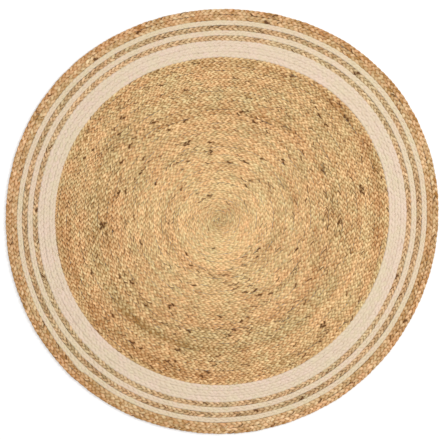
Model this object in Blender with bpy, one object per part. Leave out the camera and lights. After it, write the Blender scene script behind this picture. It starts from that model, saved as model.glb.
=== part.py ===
"""A round plaited rug. A three-strand jute plait is coiled flat from the eye outwards and sewn edge to
edge, and closed rings of cream and jute plait are sewn round it, out to a two-row jute border.

Metres, +Z up. The underside is flat and lies on z = 0, and the origin is under the middle of the rug."""

import math

import bmesh
import bpy

# Heights of the plait, above the floor.
CREST_HEIGHT = 0.0090  # the top of a row
SEAM_HEIGHT = 0.0065  # the groove where two rows are sewn together
EYE_HEIGHT = 0.0075  # the small hollow in the middle of the coil

# The field is one coil, made of two lots of plait: the turns of each lot and the width of its row.
EYE_RADIUS = 0.005
FIELD_LOTS = (
    # turns, row width
    (24, 0.0114),
    (14, 0.0132),
)
SEAM_ANGLE = math.radians(205)  # where the coil's tail ends
TAIL_SHARE = 0.14  # of a turn, over which the tail narrows to nothing
TAIL_TURNS = 8  # outer turns that step outwards beside the tail, and run round evenly elsewhere
NARROWEST_ROW = 0.0018  # a row that would be narrower is left out

# The closed rings, from the field outwards.
RINGS = (
    # name, rows, row width, material
    ("cream_band", 3, 0.0157, "cream_plait"),
    ("jute_ring_inner", 1, 0.0142, "jute_plait"),
    ("cream_ring_inner", 1, 0.0150, "cream_plait"),
    ("jute_ring_outer", 1, 0.0142, "jute_plait"),
    ("cream_ring_outer", 1, 0.0142, "cream_plait"),
    ("jute_border", 2, 0.0159, "jute_plait"),
)
GAP = 0.00035  # between one ring's wall and the next

# The outer row's rounded rim: how far inside the edge, and the height above the floor.
RIM = (
    # inset, height
    (0.0030, 0.0081),
    (0.0008, 0.0058),
    (0.0000, 0.0036),
    (0.0018, 0.0000),
)

# The hand-laid coil is a little out of round: waves round the rug, the share of the radius that each
# adds at its peaks, and the angle of a peak in degrees.
UNEVEN = (
    # waves, share, peak
    (2, 0.0125, 21.0),
    (3, 0.0068, 29.0),
    (4, 0.0039, 42.0),
)
EYE_DRIFT = (-0.0064, 0.0030)  # the eye from the middle of the outline, fading out at the field's edge

STATIONS = 60  # cross-sections round the rug

# Colour, roughness and metallic value of each yarn.
YARNS = {
    "jute_plait": ((0.58, 0.38, 0.18, 1.0), 0.92, 0.0),
    "cream_plait": ((0.72, 0.58, 0.43, 1.0), 0.90, 0.0),
}

FIELD_TURNS = sum(turns for turns, width in FIELD_LOTS)
FIELD_RADIUS = EYE_RADIUS + sum(turns * width for turns, width in FIELD_LOTS)
RUG_RADIUS = FIELD_RADIUS + sum(rows * width for name, rows, width, yarn in RINGS)


def out_of_round(angle):
    """How many times its even radius the rug reaches at this angle."""
    waves = (share * math.cos(n * (angle - math.radians(peak))) for n, share, peak in UNEVEN)
    return 1 + sum(waves)


def station_angle(station):
    return SEAM_ANGLE + 2 * math.pi * station / STATIONS


def outline_middle():
    """The middle of the outline's box, before it is moved over the origin."""
    angles = [station_angle(station) for station in range(STATIONS)]
    reach = [RUG_RADIUS * out_of_round(angle) for angle in angles]
    across = [r * math.cos(angle) for r, angle in zip(reach, angles)]
    along = [r * math.sin(angle) for r, angle in zip(reach, angles)]
    return (min(across) + max(across)) / 2, (min(along) + max(along)) / 2


MIDDLE = outline_middle()


def laid(radius, angle, height):
    """A point of the rug as it lies: an even radius and angle, bent out of round and moved to its place."""
    reach = radius * out_of_round(angle)
    drift = max(0.0, 1 - radius / FIELD_RADIUS)
    return (
        reach * math.cos(angle) + drift * EYE_DRIFT[0] - MIDDLE[0],
        reach * math.sin(angle) + drift * EYE_DRIFT[1] - MIDDLE[1],
        height,
    )


def smooth_step(share):
    share = min(1.0, max(0.0, share))
    return share * share * (3 - 2 * share)


def coil_radius(turns):
    """The radius of the coil's outer side after so many turns from the eye."""
    radius = EYE_RADIUS
    for lot, width in FIELD_LOTS:
        radius += width * min(turns, lot)
        turns = max(0.0, turns - lot)
    return radius


def seam_radius(line, share):
    """The radius of one seam line of the field, a share of a turn after the tail's angle.

    Line 0 is the rim of the eye and the last line is the field's edge. Each line between them goes on as
    the next one after a turn. Near the edge it stays at one radius and steps out beside the tail."""
    if line == 0:
        return EYE_RADIUS
    if line > FIELD_TURNS:
        return FIELD_RADIUS
    nearness = smooth_step((line - (FIELD_TURNS - TAIL_TURNS)) / TAIL_TURNS)
    stepped = smooth_step((share - (1 - TAIL_SHARE)) / TAIL_SHARE)
    growth = (1 - nearness) * share + nearness * stepped
    radius = coil_radius(line - 1 + growth)
    if radius - EYE_RADIUS < NARROWEST_ROW:
        return EYE_RADIUS
    if FIELD_RADIUS - radius < NARROWEST_ROW:
        return FIELD_RADIUS
    return radius


def ribbed(seams):
    """The top of rows that lie between these seam radii: a groove at each seam and a crest between."""
    points = [(seams[0], SEAM_HEIGHT)]
    for inner, outer in zip(seams, seams[1:]):
        fullness = min(1.0, (outer - inner) / FIELD_LOTS[0][1])
        crest = SEAM_HEIGHT + (CREST_HEIGHT - SEAM_HEIGHT) * fullness
        points.append(((inner + outer) / 2, crest))
        points.append((outer, SEAM_HEIGHT))
    return points


def field_section(station):
    """The coil's section at a station, from the axis over the top and back along the floor."""
    share = station / STATIONS
    seams = [seam_radius(line, share) for line in range(FIELD_TURNS + 2)]
    return [(0.0, EYE_HEIGHT), *ribbed(seams), (FIELD_RADIUS, 0.0), (0.0, 0.0)]


def ring_section(inner, rows, width, rim):
    """A ring's section, which starts and ends at the foot of its inner wall."""
    outer = inner + rows * width
    seams = [inner + row * width for row in range(rows + 1)]
    seams[0] += GAP
    top = ribbed(seams)
    if rim:
        outside = [(outer - inset, height) for inset, height in RIM]
        top.pop()
    else:
        outside = [(outer, 0.0)]
    foot = (seams[0], 0.0)
    return [foot, *top, *outside, foot]


def plait_material(name):
    colour, roughness, metallic = YARNS[name]
    material = bpy.data.materials.new(name)
    material.use_nodes = True
    shader = material.node_tree.nodes["Principled BSDF"]
    shader.inputs["Base Color"].default_value = colour
    shader.inputs["Roughness"].default_value = roughness
    shader.inputs["Metallic"].default_value = metallic
    material.diffuse_color = colour
    return material


def lofted(name, section_at, material):
    """A solid through the section at every station. A flat grid, stations by section points, is rolled
    round the rug, and the points that then meet are made one."""
    points = len(section_at(0))
    bm = bmesh.new()
    bmesh.ops.create_grid(bm, x_segments=STATIONS, y_segments=points - 1, size=0.5)
    sections = [section_at(station) for station in range(STATIONS + 1)]
    for vert in bm.verts:
        station = round((vert.co.x + 0.5) * STATIONS)
        place = round((vert.co.y + 0.5) * (points - 1))
        radius, height = sections[station][place]
        vert.co = laid(radius, station_angle(station), height)
    bmesh.ops.remove_doubles(bm, verts=bm.verts, dist=1e-6)
    bmesh.ops.recalc_face_normals(bm, faces=bm.faces)
    mesh = bpy.data.meshes.new(name)
    bm.to_mesh(mesh)
    bm.free()
    mesh.materials.append(material)
    mesh.shade_smooth()
    mesh.set_sharp_from_angle(angle=math.radians(60))
    piece = bpy.data.objects.new(name, mesh)
    bpy.context.collection.objects.link(piece)
    return piece


def build():
    for item in list(bpy.data.objects):
        bpy.data.objects.remove(item, do_unlink=True)
    materials = {name: plait_material(name) for name in YARNS}
    lofted("jute_field", field_section, materials["jute_plait"])
    inner = FIELD_RADIUS
    for name, rows, width, yarn in RINGS:
        section = ring_section(inner, rows, width, rim=name == RINGS[-1][0])
        lofted(name, lambda station, section=section: section, materials[yarn])
        inner += rows * width


build()
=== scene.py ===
"""The looks of a round plaited rug: real three-strand plaits of jute and cream yarn, coiled and sewn.

Metres, +Z up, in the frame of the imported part. The rug lies on z = 0 under the middle of its outline."""

import math

import bmesh
import bpy
import numpy as np
from mathutils import Matrix, Vector


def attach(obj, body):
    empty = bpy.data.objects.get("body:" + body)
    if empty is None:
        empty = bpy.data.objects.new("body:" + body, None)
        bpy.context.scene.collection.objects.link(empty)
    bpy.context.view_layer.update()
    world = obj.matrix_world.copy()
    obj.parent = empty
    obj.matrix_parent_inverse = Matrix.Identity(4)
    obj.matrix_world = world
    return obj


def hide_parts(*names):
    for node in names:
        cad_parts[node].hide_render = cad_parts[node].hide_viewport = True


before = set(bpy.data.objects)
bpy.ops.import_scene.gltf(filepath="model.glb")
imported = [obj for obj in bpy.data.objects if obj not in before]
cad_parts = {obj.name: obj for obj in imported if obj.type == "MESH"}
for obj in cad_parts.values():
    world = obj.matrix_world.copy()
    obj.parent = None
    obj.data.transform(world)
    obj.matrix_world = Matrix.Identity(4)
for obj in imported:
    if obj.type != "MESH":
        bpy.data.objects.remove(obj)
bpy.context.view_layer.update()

# ---------------- the rug's plan, as in the solids

EYE_RADIUS = 0.005
FIELD_LOTS = (
    # turns, row width
    (24, 0.0114),
    (14, 0.0132),
)
SEAM_ANGLE = math.radians(205)  # where the coil's tail ends
TAIL_SHARE = 0.14  # of a turn, over which the tail narrows to nothing
TAIL_TURNS = 8  # outer turns that step outwards beside the tail
TAIL_STOP = 0.98  # of its turn, where the tail is too narrow to go on
EYE_SHARE = 0.45  # of the first turn, which is closed up in the eye
RINGS = (
    # name, rows, row width, yarn
    ("cream_band", 3, 0.0157, "cream"),
    ("jute_ring_inner", 1, 0.0142, "faded_jute"),
    ("cream_ring_inner", 1, 0.0150, "warm_cream"),
    ("jute_ring_outer", 1, 0.0142, "faded_jute"),
    ("cream_ring_outer", 1, 0.0142, "warm_cream"),
    ("jute_border", 2, 0.0159, "border_jute"),
)
UNEVEN = (
    # waves, share, peak in degrees
    (2, 0.0125, 21.0),
    (3, 0.0068, 29.0),
    (4, 0.0039, 42.0),
)
EYE_DRIFT = (-0.0064, 0.0030)
STATIONS = 60  # of the solids' outline, which is centred on the origin
THICKNESS = 0.0090

FIELD_TURNS = sum(turns for turns, width in FIELD_LOTS)
FIELD_RADIUS = EYE_RADIUS + sum(turns * width for turns, width in FIELD_LOTS)
RUG_RADIUS = FIELD_RADIUS + sum(rows * width for name, rows, width, kind in RINGS)

# ---------------- the plait

STRANDS = 3
STITCH = 0.0148  # along the row, from one crossing to the next
SWAY = 0.385  # a strand's swing to each side, as a share of the row's width
HALF_WIDTH = 0.23  # of a strand, as a share of the row's width
HALF_HEIGHT = 0.27  # of a strand, as a share of the thickness
PINCH = 0.08  # narrower by this share at the row's edge, and wider by it in the middle
BULGE = 0.30  # plumper by this share on top of the others than under them
UNDER_SPREAD = 0.40  # how much wider a strand is pressed by the others that lie on it
ROLL = math.radians(14)  # how far a strand leans outwards at the row's edge
EDGE_FULLNESS = 0.20  # how much taller a strand is where it bends at the row's edge
SQUASH = 0.05  # the share of the row's width over which a strand is flattened against the next row
SIDES = 6  # of a strand
STEPS = 4  # along a strand, in each stitch
FIELD_LENGTHS = 4  # the coil is made of this many lengths of plait
RIM_SLIMNESS = 0.80  # of a strand where it bends at the rug's own edge, with no row beside it
SHORTEST_STITCH = 0.35  # of a full one, where a row narrows
LEAST_HEIGHT = 0.45  # of the thickness, where a row narrows to nothing
TOP_SHARPNESS = 3  # how soon a strand on top of the others starts to dive
PLAIN_CREST = 0.3  # how far on top a strand is where it is neither plumper nor slimmer
CUT_END = (0.5, 0.08)  # stitches over which a cut end is rounded, and the square of what is left there
TIGHTEST_BEND = 0.004  # round the eye
EYE_CLEARANCE = 0.0004  # from the coil's axis
LIMBS_A_TURN = 2  # a strand comes out on top twice in each turn of the plait
FIRST_DIVE = 0.25  # of a limb, from the start of a turn
LIMB_MARGIN = 3  # numbers of limbs kept free at each end of a strand

# How far the strands stray, as their random curves go from -1 to 1.
SWAY_STRAY = 0.05  # a share of the sway
WIDTH_STRAY = 0.20  # a share of the strand's width
FLATNESS_STRAY = 0.10  # a share of its height
SIDEWAYS_STRAY = 0.045  # of all three strands, as a share of the row's width
HEIGHT_STRAY = 0.0005
PULL_STRAY = 0.38  # of a stitch, along the row
PULL_START = 3  # stitches from an end, over which the pull sets in

# The random curves of a plait: the number of stitches between one value and the next.
VARYING = {
    "thickness": 1.3,
    "flatness": 0.9,
    "sideways": 2.1,
    "height": 1.7,
    "pull": 2.3,
    "tone": 4.0,
    "lot": 60.0,
    "hue": 14.0,
    "fleck": 2.0,
    "speck": 0.45,
    "cluster": 9.0,
}

CURVE_START = 1  # stitches of a curve before the plait's first
CURVE_REACH = 0.5  # past its ends, over which it goes on varying
CURVE_GAP = 4  # between one strand's stretch of a curve and the next strand's

# Where a ring's plait ends and the next length starts: the angles in degrees, and which end lies
# outermost where they pass each other, 1 for the start and -1 for the end.
JOINS = {
    "cream_band": ((188, 1), (200, 1), (212, 1)),
    "jute_ring_inner": ((196, 1),),
    "cream_ring_inner": ((203, 1),),
    "jute_ring_outer": ((183, 1),),
    "cream_ring_outer": ((171, 1), (225, -1)),
    "jute_border": ((160, 1), (236, 1)),
}
LAP = 0.045  # over which two ends pass each other
LAP_SHARE = 0.7  # of the row's width, that an end gives up

# A plait's end lies across the inner seam of the border here.
DENT_ANGLE = 226
DENT_SPREAD = math.radians(2.4)
DENT = 0.0045
DENTED = {"cream_ring_outer": "outer", "jute_border": "inner"}  # the side of the first row that it dents

SEAM_WAVER = 0.0007  # how far the coil's seams stray from an even spiral
WAVER_TURNS = 0.035
WAVER_RADIUS = 0.25  # inside it the seams stray less and less
COIL_POINTS = 20000  # along the coil's way round
RING_POINTS = 4000  # along each ring's
SEAM_POINTS = 2000  # along each ring's seam
FIELD_SEED = 11
RING_SEED = 20

# ---------------- the sewing and the loose fibres

THREAD_RADIUS = 0.0004
THREAD_REACH = 0.0024  # to each side of the seam
THREAD_PITCH = 0.0148  # along the seam, from one crossing to the next
THREAD_SIDES = 3
THREAD_STRAYS = (0.3, 0.2, 0.0004)  # along, in steps of the thread; across, as a share; and in height
THREAD_TONE, THREAD_HUE = 0.75, 0.5
THREAD_SEED = 50
# The thread's way round a seam, and which way its own outside faces there.
WHIP = (
    # how far across, height, outwards, upwards
    (-1.0, 0.0082, -0.6, 0.8),
    (1.0, 0.0082, 0.6, 0.8),
    (0.0, 0.0012, 0.0, -1.0),
)
EYE_LOOP = 0.0021  # the bend of the yarn that fills the eye
EYE_MAP_LENGTH = 0.012  # of the bend, for the streaks on it
EYE_TURN = (0.45, 0.9)  # where the bend starts, and how much of a turn it makes
EYE_YARN = (0.0026, 0.0034)  # its half width and half height
EYE_RAISED = 1.1  # the height of the yarn's middle, in half heights
EYE_SLOPE = 0.001  # how much higher its far end lies
EYE_CUT_END = (0.125, 0.1)  # the share of it over which an end is rounded, and the square of what is left
EYE_STEPS = 10
EYE_TONE, EYE_HUE = 0.4, 0.4
FIBRES = 800
FIBRE_RADIUS = 0.0001
FIBRE_POINT = 0.5  # how much thinner a fibre is at its loose end
FIBRE_LENGTHS = (0.010, 0.028)
FIBRE_LEAN = 0.35  # in radians, from the way that the row runs
FIBRE_BOW = 0.25  # as a share of its length
FIBRE_BASE = 0.0080  # the height of its two ends
FIBRE_RISES = (0.0003, 0.0022)  # how much higher its middle lies
FIBRE_ARCH = 1.1  # how full the bow and the rise are
FIBRE_TONES = (0.3, 1.0)
FIBRE_HUES = (0.2, 0.8)
FIBRE_FROM_RIM = 0.001
FIBRE_FROM_EYE = 0.003
FIBRE_BEND = 0.01  # the tightest, round the eye
FIBRE_SIDES = 3
FIBRE_STEPS = 4
FIBRE_BATCH = 400
FIBRE_MAP_LENGTH = 0.02
FIBRE_SEED = 70

# ---------------- the yarn's looks

# How the yarn changes from the eye outwards: what is added to its tone and hue, and the share of its limbs
# that have bark in them; the tone's last fall, at the rug's outer edge, is painted shade. A limb is a
# stretch of a strand that shows between two dives under the others.
LOOKS_COLUMNS = ("radius", "tone", "hue", "barky limbs")
LOOKS = (
    (0.000, 0.00, -0.25, 0.00),
    (0.022, 0.02, -0.15, 0.02),
    (0.040, 0.15, -0.05, 0.03),
    (0.090, 0.22, 0.00, 0.06),
    (0.102, 0.30, -0.05, 0.06),
    (0.118, 0.12, 0.05, 0.10),
    (0.128, 0.11, 0.05, 0.10),
    (0.136, 0.18, 0.05, 0.10),
    (0.150, 0.10, 0.05, 0.12),
    (0.165, 0.11, 0.05, 0.12),
    (0.194, 0.18, 0.00, 0.12),
    (0.212, 0.06, 0.05, 0.14),
    (0.225, 0.13, 0.10, 0.12),
    (0.255, 0.04, 0.05, 0.12),
    (0.288, 0.01, 0.10, 0.16),
    (0.308, -0.10, 0.15, 0.18),
    (0.328, -0.03, 0.05, 0.16),
    (0.362, -0.05, -0.20, 0.12),
    (0.385, -0.04, 0.05, 0.12),
    (0.415, 0.00, 0.05, 0.10),
    (0.435, -0.15, 0.12, 0.14),
    (0.446, -0.18, 0.10, 0.14),
    (0.456, -0.06, 0.00, 0.12),
    (0.515, -0.12, 0.00, 0.08),
    (0.548, -0.20, 0.05, 0.10),
    (0.575, -0.18, -0.30, 0.10),
    (0.590, -0.16, -0.05, 0.12),
    # painted shade: the tone falls to its darkest at the rug's outer edge, where the plait turns down to the
    # floor
    (0.600, -0.40, -0.05, 0.08),
)

# Stretches of other yarn, and two of painted shade on the rim's outer edge. Less than nothing is lighter or
# greener.
YARN_LOTS_AND_RIM_SHADE = (
    # the middle's angle and radius, length, breadth, how much darker, how much redder
    (215, 0.430, 0.50, 0.07, 0.10, 0.20),
    (250, 0.435, 0.30, 0.06, 0.08, 0.15),
    (238, 0.366, 0.44, 0.02, 0.25, -0.20),
    (228, 0.367, 0.10, 0.03, 0.10, -0.10),
    (256, 0.361, 0.30, 0.012, 0.14, -0.12),
    (235, 0.312, 0.22, 0.03, 0.07, 0.10),
    (188, 0.320, 0.20, 0.05, 0.10, 0.30),
    (262, 0.325, 0.16, 0.04, 0.06, -0.20),
    (338, 0.345, 0.25, 0.05, 0.00, 0.10),
    (308, 0.280, 0.18, 0.04, -0.14, 0.00),
    (120, 0.420, 0.80, 0.06, -0.12, 0.00),
    (325, 0.400, 0.35, 0.06, -0.10, 0.00),
    (95, 0.366, 0.30, 0.03, -0.08, 0.00),
    (30, 0.445, 0.45, 0.02, 0.08, -0.05),
    (64, 0.433, 0.36, 0.03, 0.03, -0.22),
    (110, 0.433, 0.10, 0.03, 0.03, -0.20),
    (16, 0.309, 0.18, 0.02, 0.04, -0.24),
    (152, 0.245, 0.10, 0.04, 0.00, -0.24),
    (125, 0.205, 0.13, 0.02, 0.03, -0.20),
    (265, 0.172, 0.08, 0.02, 0.03, -0.24),
    (311, 0.148, 0.09, 0.03, 0.02, -0.26),
    (218, 0.143, 0.14, 0.03, 0.14, 0.30),
    (340, 0.170, 0.14, 0.06, 0.10, 0.10),
    (20, 0.212, 0.10, 0.04, 0.12, 0.15),
    (298, 0.072, 0.09, 0.04, -0.09, -0.20),
    (25, 0.070, 0.08, 0.05, 0.05, 0.00),
    (40, 0.042, 0.05, 0.02, 0.10, 0.00),
    (240, 0.018, 0.03, 0.02, 0.06, 0.00),
    (310, 0.517, 0.30, 0.01, -0.16, -0.20),
    (30, 0.517, 0.30, 0.01, 0.08, 0.10),
    (200, 0.547, 0.20, 0.01, 0.14, 0.10),
    (252, 0.547, 0.85, 0.01, 0.12, 0.05),
    (226, 0.577, 0.26, 0.02, 0.12, 0.00),
    (215, 0.585, 0.60, 0.04, 0.04, 0.10),
    # painted shade: the next two darken the rim's outer edge between 40 and 66 degrees
    (40, 0.594, 0.25, 0.03, 0.20, 0.00),
    (66, 0.594, 0.20, 0.03, 0.10, 0.10),
    (342, 0.578, 0.18, 0.02, 0.14, 0.00),
    (165, 0.592, 0.25, 0.02, -0.08, -0.10),
    (285, 0.585, 0.35, 0.04, -0.12, 0.00),
)

# Some of the dark marks, where the yarn has bark of the jute stem in it, read off the photo.
MARKS = (
    # angle, radius, length
    (92, 0.092, 0.014),
    (109, 0.068, 0.012),
    (132, 0.102, 0.012),
    (42, 0.040, 0.010),
    (257, 0.086, 0.014),
    (315, 0.153, 0.016),
    (52, 0.117, 0.014),
    (181, 0.076, 0.010),
    (120, 0.288, 0.016),
    (142, 0.278, 0.014),
    (138, 0.240, 0.012),
    (118, 0.207, 0.012),
    (118, 0.189, 0.016),
    (126, 0.182, 0.012),
    (154, 0.262, 0.014),
    (186, 0.297, 0.014),
    (179, 0.276, 0.012),
    (263, 0.166, 0.013),
    (297, 0.145, 0.012),
    (247, 0.147, 0.012),
    (209, 0.321, 0.014),
    (214, 0.302, 0.012),
    (229, 0.314, 0.014),
    (239, 0.287, 0.016),
    (276, 0.230, 0.012),
    (285, 0.292, 0.014),
    (304, 0.287, 0.012),
)
LIMB_LENGTH = 0.0090  # of what shows dark of one limb
LIMB_APART = 0.0074  # along the row, from the middle of one limb to the next
LONG_MARK = 0.024  # a shorter one is less dark
PALE_SHARE = 0.35  # of the limbs in a long mark

# The other marks, at random places.
RANDOM_MARKS = 46
RANDOM_MARK_SEED = 90
RANDOM_MARK_LENGTHS = (0.012, 0.035)  # most are nearer the first

# The other bark, which is scattered at random.
CLUSTERING = 1.2  # how much more and less of it there is along a plait
CLUSTER_LIMITS = (0.1, 3)
STREAK_DEPTH = (0.35, 0.55, 0.15)  # of a streak: the least, what the darkest has more, and how it strays
STREAK_SIDES = (math.radians(60), math.radians(120))  # round the strand, the one or the other
STREAK_FOCUS = 2  # at 2 a streak fades out 60 degrees round the strand from its middle
LEAST_CHANCE = 1e-6  # of bark, so that nothing is divided by nought
DARKEST = 0.05  # the share of the barky limbs that are dark all over
DARKEST_STRAY = 0.2
DARK_TOP = 2  # how far down its sides a limb is dark all over
DARK_CREST = 2.2  # how far towards its dives

# How much of each random curve goes into the tone and the hue.
LIMB_TONE = 0.10
STRAND_TONE = 0.12
LOT_TONE = 0.10
SPECK_TONE = 0.24
STRAND_HUE = 0.36
FLECK_HUE = 0.12
LOT_SHIFT = 0.3  # of the plait's length, from where one strand reads the curve to where the next does
HUE_SHIFT = 0.5  # the same for the hue
CREST_PAINTED_LIGHT = 0.36  # painted light and shade: how much lighter a strand is painted on top of the others than where it dives under them
EVEN_CREST = 0.4  # how far on top a strand is where the painted light and shade leave it neither lighter nor darker
EYE_CALM = 0.6  # how much of its variety the yarn keeps round the eye
CALM_RADIUS = 0.05  # where the variety starts to grow
CALM_GROWTH = 6  # for each metre from there

STRAIGHT_APART = 10  # from one straight tube to the next, before they are bent
TUBE_APART = 7.3  # in the map "strand", so that no two strands have the same streaks
ROW_FILL = 0.96  # of a row's height in the map OFBake, which keeps the rows apart


def out_of_round(angle):
    """How many times its even radius the rug reaches at this angle."""
    return 1 + sum(share * np.cos(n * (angle - math.radians(peak))) for n, share, peak in UNEVEN)


def outline_middle():
    """The middle of the solids' outline, before it is moved over the origin."""
    angles = SEAM_ANGLE + 2 * math.pi * np.arange(STATIONS) / STATIONS
    reach = RUG_RADIUS * out_of_round(angles)
    return [(side.min() + side.max()) / 2 for side in (reach * np.cos(angles), reach * np.sin(angles))]


MIDDLE = outline_middle()


def laid(radius, angle, height):
    """Points of the rug as it lies: even radii and angles, bent out of round and moved to their place."""
    reach = radius * out_of_round(angle)
    drift = np.maximum(0.0, 1 - radius / FIELD_RADIUS)
    return np.stack(
        [
            reach * np.cos(angle) + drift * EYE_DRIFT[0] - MIDDLE[0],
            reach * np.sin(angle) + drift * EYE_DRIFT[1] - MIDDLE[1],
            height + 0 * reach,
        ],
        axis=-1,
    )


def smooth_step(share):
    share = np.clip(share, 0.0, 1.0)
    return share * share * (3 - 2 * share)


def coil_radius(turns):
    """The radius of the coil's outer side after so many turns from the eye."""
    radius = EYE_RADIUS
    for lot, width in FIELD_LOTS:
        radius = radius + width * np.clip(turns, 0, lot)
        turns = turns - lot
    return radius


def seam_radius(line, share):
    """The radius of the field's seam lines, a share of a turn after the tail's angle. Line 0 closes the
    eye, and the last is the field's edge. Near it the lines step out beside the tail."""
    beside_tail = smooth_step((line - (FIELD_TURNS - TAIL_TURNS)) / TAIL_TURNS)
    stepped = smooth_step((share - (1 - TAIL_SHARE)) / TAIL_SHARE)
    growth = (1 - beside_tail) * share + beside_tail * stepped
    radius = coil_radius(line - 1 + growth)
    radius = np.where(line > FIELD_TURNS, FIELD_RADIUS, radius)
    return np.where(line < 1, EYE_RADIUS * smooth_step((share - EYE_SHARE) / (1 - EYE_SHARE)), radius)


class Course:
    """The way that one plait runs round the rug, between an inner and an outer radius, and how it varies."""

    def __init__(self, angles, inner, outer, full_width, seed):
        self.angles = angles
        self.inner = inner
        self.centres = (inner + outer) / 2
        self.widths = outer - inner
        self.squeezes = np.clip(self.widths / full_width, SHORTEST_STITCH, 1.0)
        steps = np.linalg.norm(np.diff(laid(self.centres, angles, 0.0), axis=0), axis=1)
        stitches = steps / (STITCH * (self.squeezes[1:] + self.squeezes[:-1]) / 2)
        self.places = np.concatenate([[0.0], np.cumsum(stitches)])
        self.length = self.places[-1]
        rng = np.random.default_rng(seed)
        self.apart = self.length + CURVE_GAP
        room = STRANDS * self.apart + 2 * CURVE_START
        self.varying = {name: wander(rng, room, gap) for name, gap in VARYING.items()}
        self.limbs_apart = math.ceil(self.length) + 2 * LIMB_MARGIN
        self.limbs = rng.uniform(0, 1, (2, STRANDS * self.limbs_apart))

    def at(self, place, values):
        return np.interp(place, self.places, values)

    def vary(self, name, place, strand=0.0):
        """A random curve along the plait, from -1 to 1, of its own for each strand."""
        place = np.clip(place, -CURVE_REACH, self.length + CURVE_REACH)
        return self.varying[name](place + CURVE_START + strand * self.apart)

    def limb(self, place, strand):
        """The number of the limb at a place of a strand."""
        number = np.floor((place + strand) / STRANDS * LIMBS_A_TURN - FIRST_DIVE).astype(int)
        return number + LIMB_MARGIN + strand * self.limbs_apart


def field_course():
    turns = np.linspace(0.0, FIELD_TURNS + TAIL_STOP, COIL_POINTS)
    line, share = np.floor(turns), turns % 1
    full = np.where(turns < FIELD_LOTS[0][0], FIELD_LOTS[0][1], FIELD_LOTS[1][1])
    waver = wander(np.random.default_rng(FIELD_SEED), FIELD_TURNS + 3, WAVER_TURNS)

    def seam(number, turns):
        radius = seam_radius(number, share)
        free = (number >= 2) & (number < FIELD_TURNS)
        return radius + np.where(free, SEAM_WAVER * waver(turns), 0.0) * np.clip(radius / WAVER_RADIUS, 0, 1)

    angles = SEAM_ANGLE + 2 * math.pi * turns
    return Course(angles, seam(line, turns), seam(line + 1, turns + 1), full, FIELD_SEED)


def dent(angles):
    """How far the seam under the border's first row is pushed outwards."""
    away = angle_between(angles, DENT_ANGLE)
    return DENT * np.exp(-((away / DENT_SPREAD) ** 2))


def ring_course(inner, width, start, end, dented, seed):
    """One length of a ring's plait. start and end are an angle in degrees and which end lies outermost.
    dented says which of its sides lies on the border's dented inner seam."""
    lap = LAP / inner
    first = math.radians(start[0])
    last = math.radians(end[0]) + lap
    angles = np.linspace(first, last, RING_POINTS)
    low = inner + (dent(angles) if dented == "inner" else 0.0)
    high = inner + width + (dent(angles) if dented == "outer" else 0.0)
    give = LAP_SHARE * width
    at_start = give * smooth_step(1 - (angles - first) / lap)
    at_end = give * smooth_step(1 - (last - angles) / lap)
    low = low + at_start * (start[1] > 0) + at_end * (end[1] < 0)
    high = high - at_start * (start[1] < 0) - at_end * (end[1] > 0)
    return Course(angles, low, high, width, seed)


def pressed(value, limit, margin):
    """Values near a limit and past it, squeezed into the margin below it."""
    over = np.maximum(value - (limit - margin), 0.0)
    return np.minimum(value, limit - margin) + margin * np.tanh(over / margin)


def wander(rng, length, gap):
    """A smooth random curve from -1 to 1, with a new value at every gap."""
    knots = rng.uniform(-1, 1, int(length / gap) + 3)

    def at(place):
        place = np.clip(place / gap, 0, len(knots) - 1.001)
        left = np.floor(place).astype(int)
        share = smooth_step(place - left)
        return knots[left] * (1 - share) + knots[left + 1] * share

    return at


def straight_tubes(count, sides, steps):
    """Closed straight tubes side by side, with one unit to each step along X."""
    bm = bmesh.new()
    for tube in range(count):
        for vert in bmesh.ops.create_grid(bm, x_segments=steps, y_segments=sides, size=0.5)["verts"]:
            angle = 2 * math.pi * round((vert.co.y + 0.5) * sides) / sides
            station = round((vert.co.x + 0.5) * steps)
            vert.co = station, math.cos(angle) + STRAIGHT_APART * tube, math.sin(angle)
    bmesh.ops.remove_doubles(bm, verts=bm.verts, dist=1e-3)
    bmesh.ops.holes_fill(bm, edges=[edge for edge in bm.edges if edge.is_boundary], sides=0)
    mesh = bpy.data.meshes.new("tubes")
    bm.to_mesh(mesh)
    bm.free()
    return mesh


def read_tubes(mesh):
    """Each point's station, tube and angle round it."""
    straight = numbers(mesh.vertices, "co", 3)
    tube = np.round(straight[:, 1] / STRAIGHT_APART).astype(int)
    return straight[:, 0], tube, np.arctan2(straight[:, 2], straight[:, 1] - STRAIGHT_APART * tube)


def numbers(items, name, size):
    """One property of a mesh's points, corners or faces, with so many numbers for each."""
    values = np.empty(len(items) * size)
    items.foreach_get(name, values)
    return values.reshape(-1, size) if size > 1 else values


def blunted(from_end, over, least):
    """How much of its thickness a strand keeps near a cut end, which is rounded off."""
    return np.sqrt(np.clip(from_end / over, least, 1.0))


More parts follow.
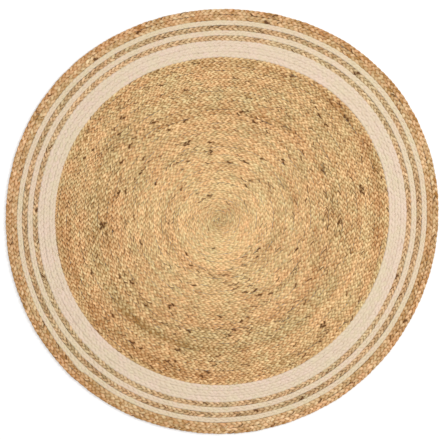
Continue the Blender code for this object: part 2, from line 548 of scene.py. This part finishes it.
def plait(name, course, first, last, yarn, rim=False):
    """One length of plait, from its first to its last stitch along a course."""
    steps = round((last - first) * STEPS)
    mesh = straight_tubes(STRANDS, SIDES, steps)
    mesh.name = name
    station, strand, around = read_tubes(mesh)
    place = first + station / STEPS
    thick = course.vary("thickness", place, strand)

    # the strand's centre line, and how steeply it runs sideways and up
    width = course.at(place, course.widths)
    squeeze = course.at(place, course.squeezes)
    height = THICKNESS * (LEAST_HEIGHT + (1 - LEAST_HEIGHT) * squeeze)
    turn = 2 * math.pi * (place + strand) / STRANDS
    sway = SWAY * width * (1 + SWAY_STRAY * thick)
    across = sway * np.sin(turn)
    up = height * (0.5 - yarn["lift"] * np.sin(2 * turn) + yarn["edge_rise"] * np.sin(turn) ** 2)
    per_metre = 2 * math.pi / (STRANDS * STITCH * squeeze)
    lean = sway * np.cos(turn) * per_metre
    climb = yarn["edge_rise"] * np.sin(2 * turn) - 2 * yarn["lift"] * np.cos(2 * turn)
    climb = height * climb * per_metre

    # its section there, leaning outwards at the row's edges
    crest = (0.5 - 0.5 * np.sin(2 * turn)) ** TOP_SHARPNESS
    under = (0.5 + 0.5 * np.sin(2 * turn)) ** TOP_SHARPNESS
    bulge = 1 + BULGE * (crest - PLAIN_CREST)
    spread = bulge + PINCH * np.cos(2 * turn) + UNDER_SPREAD * under
    half_width = HALF_WIDTH * width * spread * (1 + WIDTH_STRAY * thick) * yarn["full"]
    flat = 1 + FLATNESS_STRAY * course.vary("flatness", place, strand)
    half_height = HALF_HEIGHT * height * flat * yarn["full"]
    half_height = half_height * (1 + EDGE_FULLNESS * np.sin(turn) ** 2) * bulge
    if rim:
        half_width = half_width * (1 - (1 - RIM_SLIMNESS) * np.clip(np.sin(turn), 0, 1))
    from_end = np.minimum(place, course.length - place)
    blunt = blunted(from_end, *CUT_END)
    half_width, half_height = half_width * blunt, half_height * blunt
    roll = -ROLL * np.sin(turn)
    wide, tall = half_width * np.cos(around), half_height * np.sin(around)
    wide, tall = wide * np.cos(roll) - tall * np.sin(roll), wide * np.sin(roll) + tall * np.cos(roll)
    side = np.hypot(1, lean)
    rise = np.sqrt(1 + lean**2 + climb**2) * side
    forward = -lean / side * wide - climb / rise * tall
    across = across + wide / side - lean * climb / rise * tall
    up = up + (1 + lean**2) / rise * tall

    # pressed against the rows beside it, and flat on top
    limit = (0.5 + yarn["spill"]) * width
    across = pressed(np.abs(across), limit, SQUASH * width) * np.sign(across)
    across = across + SIDEWAYS_STRAY * width * course.vary("sideways", place)
    up = pressed(up, height, yarn["press"] * height)
    up = up + HEIGHT_STRAY * course.vary("height", place, strand)

    # round the rug
    pull = PULL_STRAY * course.vary("pull", place) * np.clip(from_end / PULL_START, 0, 1)
    along = place + pull + forward / (STITCH * squeeze)
    centre = course.at(place + pull, course.centres)
    beyond = (along - np.clip(along, 0, course.length)) * STITCH * squeeze
    angle = course.at(along, course.angles) + beyond / np.maximum(centre, TIGHTEST_BEND)
    radius = centre + across
    points = laid(np.maximum(radius, EYE_CLEARANCE), angle, np.maximum(up, 0.0))
    mesh.vertices.foreach_set("co", points.ravel())
    tube_maps(mesh, station, strand, around, SIDES, first * STITCH, STITCH / STEPS)
    tone, hue = tones(course, place, strand, radius, angle, crest)
    bark = barks(course, place, strand, radius, angle, around, crest, yarn["barky"])
    carry(mesh, tone, hue, bark)
    return finished(name, mesh, yarn["material"])


def tube_maps(mesh, station, tube, around, sides, start, step):
    """The map "strand" has metres along a tube and the share of the way round it. "OFBake" packs the same
    faces into a square in rows, with no face on another."""
    corners = numbers(mesh.loops, "vertex_index", 1).astype(int)
    total = numbers(mesh.polygons, "loop_total", 1).astype(int)
    face = np.repeat(np.arange(len(total)), total)
    starts = np.concatenate([[0], np.cumsum(total)[:-1]])
    side = np.round(around[corners] / (2 * math.pi) * sides) % sides
    wraps = (np.maximum.reduceat(side, starts) == sides - 1) & (np.minimum.reduceat(side, starts) == 0)
    side = np.where(wraps[face] & (side == 0), sides, side)
    along, tube = station[corners], tube[corners]
    strand_map = mesh.uv_layers.new(name="strand")
    metres = start + along * step + tube * TUBE_APART
    strand_map.uv.foreach_set("vector", np.stack([metres, side / sides], axis=1).ravel())

    steps, tubes = int(station.max()), int(tube.max()) + 1
    in_row = math.ceil(math.sqrt(tubes * steps * sides))
    rows = math.ceil(steps / in_row)
    row = np.minimum(np.minimum.reduceat(along, starts)[face], steps - 1) // in_row
    packed = mesh.uv_layers.new(name="OFBake")
    u = (along - row * in_row) / in_row
    v = (tube * rows + row + ROW_FILL * side / sides) / (tubes * rows)
    packed.uv.foreach_set("vector", np.stack([u, v], axis=1).ravel())
    mesh.uv_layers.active = strand_map


def read_looks(radius, name):
    column = LOOKS_COLUMNS.index(name)
    return np.interp(radius, [row[0] for row in LOOKS], [row[column] for row in LOOKS])


def angle_between(angle, degrees):
    """How far an angle is past a place of the rug, the shorter way round."""
    return (angle - math.radians(degrees) + math.pi) % (2 * math.pi) - math.pi


def nearness(angle, radius, middle, middle_radius, length, breadth):
    """1 at a place of the rug and fading to 0 round it, along the row and across it."""
    away = angle_between(angle, middle)
    return np.exp(-((2 * away * radius / length) ** 2) - (2 * (radius - middle_radius) / breadth) ** 2)


def tones(course, place, strand, radius, angle, crest):
    """The tone, from dark to light, and the hue, from green to red, of each point of the strands. The tone
    holds painted light on a strand's top, painted shade where it dives, and painted shade at the rug's outer
    edge.
    """
    shade = course.limbs[0, course.limb(place, strand)]
    stray = LIMB_TONE * (2 * shade - 1) + STRAND_TONE * course.vary("tone", place, strand)
    stray = stray + LOT_TONE * course.vary("lot", place, LOT_SHIFT * strand)
    stray = stray + SPECK_TONE * course.vary("speck", place, strand)
    # painted light on a strand's top and painted shade where it dives under the others
    stray = stray + CREST_PAINTED_LIGHT * (crest - EVEN_CREST)
    calm = np.clip(EYE_CALM + CALM_GROWTH * (radius - CALM_RADIUS), EYE_CALM, 1)
    tone = 0.5 + read_looks(radius, "tone") + stray * calm
    hue = 0.5 + read_looks(radius, "hue") + STRAND_HUE * course.vary("hue", place, HUE_SHIFT * strand)
    hue = hue + FLECK_HUE * course.vary("fleck", place, strand)
    # stretches of other yarn, and the painted shade on the rim's outer edge
    for middle, middle_radius, length, breadth, darker, redder in YARN_LOTS_AND_RIM_SHADE:
        near = nearness(angle, radius, middle, middle_radius, length, breadth)
        tone = tone - darker * near
        hue = hue + redder * near
    return tone, hue


def limb_means(limb, values):
    """The mean of some values over the points of each limb."""
    points = np.maximum(np.bincount(limb), 1)
    return (np.bincount(limb, values) / points)[limb]


def random_marks():
    """Marks spread evenly over the rug's area, most of them short."""
    rng = np.random.default_rng(RANDOM_MARK_SEED)
    angle = rng.uniform(0, 360, RANDOM_MARKS)
    radius = RUG_RADIUS * np.sqrt(rng.uniform(0, 1, RANDOM_MARKS))
    shortest, longest = RANDOM_MARK_LENGTHS
    length = shortest + (longest - shortest) * rng.uniform(0, 1, RANDOM_MARKS) ** 3
    return zip(angle, radius, length)


def barks(course, place, strand, radius, angle, around, crest, barky):
    """How much of each point of the strands is bark, the dark fibres of the stem's foot and joints. Most
    of it shows as a thin streak on one side of a strand's top, and the darkest covers the crest."""
    limb = course.limb(place, strand)
    shade, dark = course.limbs[:, limb]
    speck = course.vary("speck", place, strand)

    # scattered streaks, and limbs that are dark all over
    clustered = np.clip(1 + CLUSTERING * course.vary("cluster", place), *CLUSTER_LIMITS)
    chance = read_looks(radius, "barky limbs") * clustered * barky + LEAST_CHANCE
    depth = np.clip(1 - dark / chance, 0, 1)
    least, more, stray = STREAK_DEPTH
    depth = (depth > 0) * (least + more * depth**2 + stray * speck)
    darkest = (dark < DARKEST * chance) * (1 - DARKEST_STRAY + DARKEST_STRAY * speck)

    # the marks, limb by limb
    limb_angle, limb_radius = limb_means(limb, angle), limb_means(limb, radius)
    half_row = course.at(place, course.widths) / 2
    for middle, middle_radius, length in (*MARKS, *random_marks()):
        away = np.abs(angle_between(limb_angle, middle)) * limb_radius
        reach = max(length - LIMB_LENGTH, LIMB_APART) / 2
        marked = (away < reach) & (np.abs(limb_radius - middle_radius) < half_row)
        marked = marked & ((dark > PALE_SHARE) | (length < LONG_MARK))
        darkest = np.maximum(darkest, min(1.0, length / LONG_MARK) * marked * barky)

    streak = np.where(shade > 0.5, *STREAK_SIDES)
    thin = depth * np.clip(STREAK_FOCUS * np.cos(around - streak) - (STREAK_FOCUS - 1), 0, 1)
    top = np.clip(DARK_TOP * np.sin(around), 0, 1) * np.clip(DARK_CREST * crest, 0, 1)
    return np.maximum(thin, darkest * top)


def carry(mesh, tone, hue, bark):
    """Gives the points their values, or one value to them all."""
    for key, values in (("tone", tone), ("hue", hue), ("bark", bark)):
        layer = mesh.attributes.new(key, "FLOAT", "POINT")
        values = np.clip(values + np.zeros(len(mesh.vertices)), 0, 1)
        layer.data.foreach_set("value", values.astype(np.float32))


def finished(name, mesh, material):
    mesh.materials.append(material)
    mesh.shade_smooth()
    piece = bpy.data.objects.new(name, mesh)
    bpy.context.scene.collection.objects.link(piece)
    return piece


# ---------------- materials

FLECK_STRETCH = (1.5, 0.25, 0.25)  # a fleck is shorter and broader than a streak
FLECK_PEAK = 0.78  # the noise hardly ever goes over this
FLECK_EDGE = 12.0  # how sharply a fleck starts
PATCH_HUE = 1.7  # how much a patch of the rug changes its hue
BARK_GAIN = 3.0
BARK_BREAKS = 1.4  # how much the streaks break up the bark
BARK_COVER = 0.95  # what the bark hides of the yarn's own colour


def group(name, inputs, outputs):
    """A node group with its named sockets, and the nodes at its two ends."""
    tree = bpy.data.node_groups.new(name, "ShaderNodeTree")
    for label, kind, value in inputs:
        socket = tree.interface.new_socket(label, in_out="INPUT", socket_type=kind)
        if value is not None:
            socket.default_value = value
    for label, kind in outputs:
        tree.interface.new_socket(label, in_out="OUTPUT", socket_type=kind)
    return tree, tree.nodes.new("NodeGroupInput"), tree.nodes.new("NodeGroupOutput")


def maths(tree, operation, *values, clamp=False):
    """The result of a maths node on these links or values."""
    node = tree.nodes.new("ShaderNodeMath")
    node.operation = operation
    node.use_clamp = clamp
    fill(tree, node.inputs, values)
    return node.outputs[0]


def fill(tree, sockets, values):
    """Links or values for a node's sockets, in their order."""
    for socket, value in zip(sockets, values):
        if isinstance(value, bpy.types.NodeSocket):
            tree.links.new(value, socket)
        elif value is not None:
            socket.default_value = value


def blend(tree, factor, one, other, kind="MIX"):
    """One colour mixed with another."""
    node = tree.nodes.new("ShaderNodeMix")
    node.data_type = "RGBA"
    node.blend_type = kind
    fill(tree, [node.inputs["Factor"], node.inputs["A"], node.inputs["B"]], [factor, one, other])
    return node.outputs["Result"]


def fibre_streaks():
    """Streaks that run along a strand and lean a little round it, from its own map."""
    tree, given, result = group(
        "fibre_streaks",
        [
            ("Strand Map", "NodeSocketVector", None),
            ("Streak Length", "NodeSocketFloat", 0.012),
            ("Streaks Round", "NodeSocketFloat", 24.0),
            ("Twist", "NodeSocketFloat", 8.0),
            ("Roughness", "NodeSocketFloat", 0.72),
            ("Fleck Share", "NodeSocketFloat", 0.1),
        ],
        [("Streak", "NodeSocketFloat"), ("Fleck", "NodeSocketFloat")],
    )
    split = tree.nodes.new("ShaderNodeSeparateXYZ")
    tree.links.new(given.outputs["Strand Map"], split.inputs[0])
    along, around = split.outputs[0], split.outputs[1]
    angle = maths(tree, "MULTIPLY_ADD", along, given.outputs["Twist"], around)
    angle = maths(tree, "MULTIPLY", angle, 2 * math.pi)
    radius = maths(tree, "DIVIDE", given.outputs["Streaks Round"], 2 * math.pi)
    join = tree.nodes.new("ShaderNodeCombineXYZ")
    fill(
        tree,
        join.inputs,
        [
            maths(tree, "DIVIDE", along, given.outputs["Streak Length"]),
            maths(tree, "MULTIPLY", maths(tree, "COSINE", angle), radius),
            maths(tree, "MULTIPLY", maths(tree, "SINE", angle), radius),
        ],
    )
    noise = tree.nodes.new("ShaderNodeTexNoise")
    noise.inputs["Scale"].default_value = 1.0
    noise.inputs["Detail"].default_value = 3.0
    tree.links.new(join.outputs[0], noise.inputs["Vector"])
    tree.links.new(given.outputs["Roughness"], noise.inputs["Roughness"])
    tree.links.new(noise.outputs[0], result.inputs["Streak"])

    # a few dark fibres: the peaks of a broader noise
    stretch = tree.nodes.new("ShaderNodeVectorMath")
    stretch.operation = "MULTIPLY"
    tree.links.new(join.outputs[0], stretch.inputs[0])
    stretch.inputs[1].default_value = FLECK_STRETCH
    peaks = tree.nodes.new("ShaderNodeTexNoise")
    peaks.inputs["Scale"].default_value = 1.0
    peaks.inputs["Detail"].default_value = 1.0
    tree.links.new(stretch.outputs[0], peaks.inputs["Vector"])
    least = maths(tree, "SUBTRACT", FLECK_PEAK, given.outputs["Fleck Share"])
    over = maths(tree, "SUBTRACT", peaks.outputs[0], least)
    tree.links.new(maths(tree, "MULTIPLY", over, FLECK_EDGE, clamp=True), result.inputs["Fleck"])
    return tree


def yarn_colour():
    """The colour of one place on a strand, from the values that its points carry."""
    colours = [
        ("Light", (0.83, 0.53, 0.27, 1)),
        ("Dark", (0.28, 0.14, 0.04, 1)),
        ("Green Cast", (0.94, 1.03, 1.02, 1)),
        ("Red Cast", (1.07, 0.965, 0.92, 1)),
        ("Bark Brown", (0.105, 0.036, 0.007, 1)),
    ]
    values = [
        ("Patch", 0.5),
        ("Tone", 0.5),
        ("Hue", 0.5),
        ("Bark", 0.0),
        ("Streak", 0.5),
        ("Streak Depth", 0.5),
        ("Fleck", 0.0),
        ("Fleck Depth", 0.5),
    ]
    tree, given, result = group(
        "yarn_colour",
        [(label, "NodeSocketColor", colour) for label, colour in colours]
        + [(label, "NodeSocketFloat", value) for label, value in values],
        [("Color", "NodeSocketColor")],
    )
    patch = maths(tree, "SUBTRACT", given.outputs["Patch"], 0.5)
    hue = maths(tree, "MULTIPLY_ADD", patch, PATCH_HUE, given.outputs["Hue"], clamp=True)
    streak = maths(tree, "SUBTRACT", given.outputs["Streak"], 0.5)
    depth = given.outputs["Streak Depth"]
    tone = maths(tree, "MULTIPLY_ADD", streak, depth, given.outputs["Tone"], clamp=True)
    colour = blend(tree, tone, given.outputs["Dark"], given.outputs["Light"])
    cast = blend(tree, hue, given.outputs["Green Cast"], given.outputs["Red Cast"])
    colour = blend(tree, 1.0, colour, cast, "MULTIPLY")
    between = maths(tree, "MULTIPLY", given.outputs["Streak"], BARK_BREAKS)
    bark = maths(tree, "MULTIPLY", given.outputs["Bark"], BARK_GAIN)
    bark = maths(tree, "SUBTRACT", bark, between, clamp=True)
    bark = maths(tree, "MULTIPLY", bark, BARK_COVER)
    fleck = maths(tree, "MULTIPLY", given.outputs["Fleck"], given.outputs["Fleck Depth"])
    bark = maths(tree, "MAXIMUM", bark, fleck)
    tree.links.new(blend(tree, bark, colour, given.outputs["Bark Brown"]), result.inputs["Color"])
    return tree


FIBRE_STREAKS = fibre_streaks()
YARN_COLOUR = yarn_colour()


def yarn_material(name, colours, streak_depth, streak_height, fleck_share, fleck_depth):
    """A yarn of long loose fibres: streaky, rough and unpolished."""
    material = bpy.data.materials.new(name)
    material.use_nodes = True
    tree = material.node_tree
    shader = tree.nodes["Principled BSDF"]
    shader.inputs["Roughness"].default_value = 0.85
    shader.inputs["Specular IOR Level"].default_value = 0.15

    where = tree.nodes.new("ShaderNodeUVMap")
    where.uv_map = "strand"
    streaks = tree.nodes.new("ShaderNodeGroup")
    streaks.node_tree = FIBRE_STREAKS
    tree.links.new(where.outputs["UV"], streaks.inputs["Strand Map"])
    streaks.inputs["Fleck Share"].default_value = fleck_share

    colour = tree.nodes.new("ShaderNodeGroup")
    colour.node_tree = YARN_COLOUR
    for label, value in colours.items():
        colour.inputs[label].default_value = value
    colour.inputs["Streak Depth"].default_value = streak_depth
    colour.inputs["Fleck Depth"].default_value = fleck_depth
    tree.links.new(streaks.outputs["Streak"], colour.inputs["Streak"])
    tree.links.new(streaks.outputs["Fleck"], colour.inputs["Fleck"])
    for label in ("Tone", "Hue", "Bark"):
        value = tree.nodes.new("ShaderNodeAttribute")
        value.attribute_name = label.lower()
        tree.links.new(value.outputs["Fac"], colour.inputs[label])
    tree.links.new(colour.outputs["Color"], shader.inputs["Base Color"])

    place = tree.nodes.new("ShaderNodeTexCoord")
    patches = tree.nodes.new("ShaderNodeTexNoise")
    patches.inputs["Scale"].default_value = 24.0
    tree.links.new(place.outputs["Object"], patches.inputs["Vector"])
    tree.links.new(patches.outputs[0], colour.inputs["Patch"])

    bump = tree.nodes.new("ShaderNodeBump")
    bump.inputs["Distance"].default_value = streak_height
    bump.inputs["Strength"].default_value = 1.0
    tree.links.new(streaks.outputs["Streak"], bump.inputs["Height"])
    tree.links.new(bump.outputs["Normal"], shader.inputs["Normal"])
    return material


def jute_material(name, light, dark):
    return yarn_material(
        name,
        {"Light": light, "Dark": dark},
        streak_depth=0.75,
        streak_height=0.0006,
        fleck_share=0.12,
        fleck_depth=0.5,
    )


def cream_material(name, light, dark):
    return yarn_material(
        name,
        {
            "Light": light,
            "Dark": dark,
            "Green Cast": (0.975, 1.012, 0.94, 1),
            "Red Cast": (1.022, 0.985, 1.03, 1),
        },
        streak_depth=0.5,
        streak_height=0.0004,
        fleck_share=0.04,
        fleck_depth=0.2,
    )


def yarn_kind(slot, material, **shape):
    """A kind of yarn and how it lies in its plait. flat, the width of one strand laid flat before it is
    plaited, is not used. full is how plump it is. press is the share of the thickness over which its top is
    pressed flat. lift is its rise and fall, and edge_rise how far the bends at the row's edges are pushed
    up, both as shares of the thickness. spill is how far the yarn bulges into the next row, as a share of
    the row's width. barky says whether it has bark in it."""
    return {"slot": slot, "material": material, **shape}


JUTE_SHAPE = {
    "flat": 0.009,
    "full": 1.0,
    "press": 0.12,
    "lift": 0.24,
    "edge_rise": 0.09,
    "spill": 0,
    "barky": 1,
}
BORDER_SHAPE = {**JUTE_SHAPE, "full": 1.12, "press": 0.2, "edge_rise": 0.18}
CREAM_SHAPE = {
    "flat": 0.0115,
    "full": 1.5,
    "press": 0.4,
    "lift": 0.11,
    "edge_rise": 0.22,
    "spill": 0,
    "barky": 0,
}
BAND_SHAPE = {**CREAM_SHAPE, "spill": 0.05}
YARNS = {
    "jute": yarn_kind(
        "jute_plait",
        jute_material("jute_yarn", (0.905, 0.650, 0.345, 1), (0.370, 0.180, 0.054, 1)),
        **JUTE_SHAPE,
    ),
    "border_jute": yarn_kind(
        "jute_plait",
        jute_material("border_jute_yarn", (0.93, 0.65, 0.39, 1), (0.38, 0.18, 0.05, 1)),
        **BORDER_SHAPE,
    ),
    "faded_jute": yarn_kind(
        "jute_plait",
        jute_material("faded_jute_yarn", (0.90, 0.66, 0.40, 1), (0.36, 0.215, 0.095, 1)),
        **JUTE_SHAPE,
    ),
    "cream": yarn_kind(
        "cream_plait",
        cream_material("cream_yarn", (0.73, 0.59, 0.45, 1), (0.66, 0.525, 0.39, 1)),
        **BAND_SHAPE,
    ),
    "warm_cream": yarn_kind(
        "cream_plait",
        cream_material("warm_cream_yarn", (0.73, 0.59, 0.43, 1), (0.66, 0.525, 0.37, 1)),
        **CREAM_SHAPE,
    ),
}


def dressed(piece, node):
    """Hangs a length of plait on the rug's root and hides the part of the solids that it stands for."""
    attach(piece, "root")
    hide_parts(node)


def field(course):
    cuts = np.round(np.linspace(0, course.length, FIELD_LENGTHS + 1) * STEPS) / STEPS
    for number, (first, last) in enumerate(zip(cuts, cuts[1:]), start=1):
        piece = plait(f"field_plait_{number}", course, first, last, YARNS["jute"])
        dressed(piece, "jute_field")


def rings():
    inner, count = FIELD_RADIUS, 0
    for name, rows, width, kind in RINGS:
        for row in range(rows):
            joins = JOINS[name] if rows == 1 else JOINS[name][row : row + 1]
            dented = DENTED.get(name) if row == 0 else None
            rim = name == "jute_border" and row == rows - 1
            ends = [*joins, (joins[0][0] + 360, joins[0][1])]
            for start, end in zip(ends, ends[1:]):
                count += 1
                course = ring_course(inner, width, start, end, dented, seed=RING_SEED + count)
                last = math.floor(course.length * STEPS) / STEPS
                piece = plait(f"{name}_plait_{count}", course, 0.0, last, YARNS[kind], rim)
                dressed(piece, name)
            inner += width


def small_tube(name, mesh, points, around, sides, length, tone, hue, yarn):
    """Bends a straight tube or tubes to their points and finishes them as a piece of the rug."""
    station, tube, _ = read_tubes(mesh)
    mesh.vertices.foreach_set("co", points.ravel())
    tube_maps(mesh, station, tube, around, sides, 0.0, length / station.max())
    carry(mesh, tone, hue, 0.0)
    piece = finished(name, mesh, yarn["material"])
    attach(piece, "root")


def whipped(name, angles, radii, yarn, seed):
    """The sewing thread of one seam: over it, and back through the plaits underneath."""
    steps_along = np.linalg.norm(np.diff(laid(radii, angles, 0.0), axis=0), axis=1)
    run = np.concatenate([[0.0], np.cumsum(steps_along)])
    steps = len(WHIP) * int(run[-1] / THREAD_PITCH)
    mesh = straight_tubes(1, THREAD_SIDES, steps)
    station, _, around = read_tubes(mesh)
    number = np.round(station).astype(int)
    loose = np.random.default_rng(seed).uniform(-1, 1, (3, steps + 1))[:, number]
    way, height, out, up = np.array(WHIP)[number % len(WHIP)].T
    along = (station + THREAD_STRAYS[0] * loose[0]) * THREAD_PITCH / len(WHIP)
    angle, radius = np.interp(along, run, angles), np.interp(along, run, radii)
    across = way * THREAD_REACH * (1 + THREAD_STRAYS[1] * loose[1]) + out * THREAD_RADIUS * np.sin(around)
    height = height + THREAD_STRAYS[2] * loose[2] + up * THREAD_RADIUS * np.sin(around)
    angle = angle - THREAD_RADIUS * np.cos(around) / radius
    points = laid(radius + across, angle, height)
    small_tube(name, mesh, points, around, THREAD_SIDES, run[-1], THREAD_TONE, THREAD_HUE, yarn)


def sewing(course):
    coiled = course.angles >= SEAM_ANGLE + 2 * math.pi
    whipped("field_thread", course.angles[coiled], course.inner[coiled], YARNS["jute"], THREAD_SEED)
    inner, around = FIELD_RADIUS, np.linspace(0, 2 * math.pi, SEAM_POINTS)
    for name, rows, width, kind in RINGS:
        for row in range(rows):
            moved = dent(around) if name == "jute_border" and row == 0 else 0.0
            radii = inner + moved + 0 * around
            whipped(f"{name}_thread_{row + 1}", around, radii, YARNS[kind], THREAD_SEED + 1 + row)
            inner += width


def eye():
    """The bend of yarn that the coil starts from."""
    mesh = straight_tubes(1, SIDES, EYE_STEPS)
    station, _, around = read_tubes(mesh)
    share = station / EYE_STEPS
    blunt = blunted(np.minimum(share, 1 - share), *EYE_CUT_END)
    angle = 2 * math.pi * (EYE_TURN[0] + EYE_TURN[1] * share)
    out = EYE_LOOP + EYE_YARN[0] * blunt * np.cos(around)
    up = EYE_YARN[1] * (EYE_RAISED + blunt * np.sin(around)) + EYE_SLOPE * share
    middle = laid(np.zeros(len(share)), angle, 0.0)
    points = middle + np.stack([out * np.cos(angle), out * np.sin(angle), up], axis=-1)
    small_tube("eye_fold", mesh, points, around, SIDES, EYE_MAP_LENGTH, EYE_TONE, EYE_HUE, YARNS["jute"])


def fibres():
    """Ends of fibre that have worked loose, lying on the rug roughly along its rows."""
    rng = np.random.default_rng(FIBRE_SEED)
    for batch in range(FIBRES // FIBRE_BATCH):
        mesh = straight_tubes(FIBRE_BATCH, FIBRE_SIDES, FIBRE_STEPS)
        station, fibre, around = read_tubes(mesh)
        share = station / FIBRE_STEPS
        middle = np.sqrt(rng.uniform(0, 1, FIBRE_BATCH)) * (RUG_RADIUS - FIBRE_FROM_RIM)
        start = rng.uniform(0, 2 * math.pi, FIBRE_BATCH)
        length = rng.uniform(*FIBRE_LENGTHS, FIBRE_BATCH)
        lean = rng.normal(0, FIBRE_LEAN, FIBRE_BATCH)
        bow = rng.normal(0, FIBRE_BOW, FIBRE_BATCH)
        rise = rng.uniform(*FIBRE_RISES, FIBRE_BATCH)
        arch = (4 * share * (1 - share)) * FIBRE_ARCH
        across = ((share - 0.5) * np.sin(lean[fibre]) + bow[fibre] * arch) * length[fibre]
        along = (share - 0.5) * np.cos(lean[fibre]) * length[fibre]
        thin = FIBRE_RADIUS * (1 - FIBRE_POINT * share)
        radius = np.maximum(middle[fibre] + across + thin * np.cos(around), FIBRE_FROM_EYE)
        angle = start[fibre] + along / np.maximum(middle[fibre], FIBRE_BEND)
        up = FIBRE_BASE + rise[fibre] * arch + thin * np.sin(around)
        tone = rng.uniform(*FIBRE_TONES, FIBRE_BATCH)[fibre]
        hue = rng.uniform(*FIBRE_HUES, FIBRE_BATCH)[fibre]
        points = laid(radius, angle, up)
        name = f"loose_fibres_{batch + 1}"
        small_tube(name, mesh, points, around, FIBRE_SIDES, FIBRE_MAP_LENGTH, tone, hue, YARNS["jute"])


# ---------------- the floor, the light and the camera

FLOOR_REACH = 6.0
FLOOR_DROP = 0.0003  # below the rug's underside
PIXEL = 0.0027855  # of the photograph, on the rug, in metres
PICTURE_PIXELS = 440
PICTURE_MIDDLE = (-2.0 * PIXEL, 1.5 * PIXEL)


def floor():
    bm = bmesh.new()
    bmesh.ops.create_grid(bm, x_segments=1, y_segments=1, size=FLOOR_REACH)
    mesh = bpy.data.meshes.new("floor")
    bm.to_mesh(mesh)
    bm.free()
    mesh.transform(Matrix.Translation((0, 0, -FLOOR_DROP)))
    material = bpy.data.materials.new("pale_floor")
    material.use_nodes = True
    shader = material.node_tree.nodes["Principled BSDF"]
    shader.inputs["Base Color"].default_value = (0.95, 0.95, 0.95, 1)
    shader.inputs["Roughness"].default_value = 0.9
    mesh.materials.append(material)
    piece = bpy.data.objects.new("floor", mesh)
    bpy.context.scene.collection.objects.link(piece)


def softbox(name, place, power, size):
    """A square lamp that shines on the middle of the rug."""
    lamp = bpy.data.lights.new(name, "AREA")
    lamp.energy = power
    lamp.size = size
    item = bpy.data.objects.new(name, lamp)
    item.location = place
    item.rotation_euler = (-Vector(place)).to_track_quat("-Z", "Y").to_euler()
    bpy.context.scene.collection.objects.link(item)


def studio():
    world = bpy.data.worlds.new("studio")
    bpy.context.scene.world = world
    world.use_nodes = True
    world.node_tree.nodes["Background"].inputs["Color"].default_value = (1, 1, 1, 1)
    world.node_tree.nodes["Background"].inputs["Strength"].default_value = 0.56
    softbox("overhead", place=(0.5, 0.5, 4.2), power=127.0, size=5.0)
    softbox("key", place=(3.1, 1.4, 3.4), power=53.0, size=1.5)
    bpy.context.scene.view_settings.view_transform = "Standard"


def camera():
    view = bpy.data.cameras.new("camera")
    view.lens = 85
    view.sensor_width = 36
    item = bpy.data.objects.new("camera", view)
    distance = PICTURE_PIXELS * PIXEL * view.lens / view.sensor_width
    item.location = (*PICTURE_MIDDLE, distance + THICKNESS)
    bpy.context.scene.collection.objects.link(item)
    bpy.context.scene.camera = item


camera()
studio()
floor()
coil = field_course()
field(coil)
rings()
sewing(coil)
eye()
fibres()
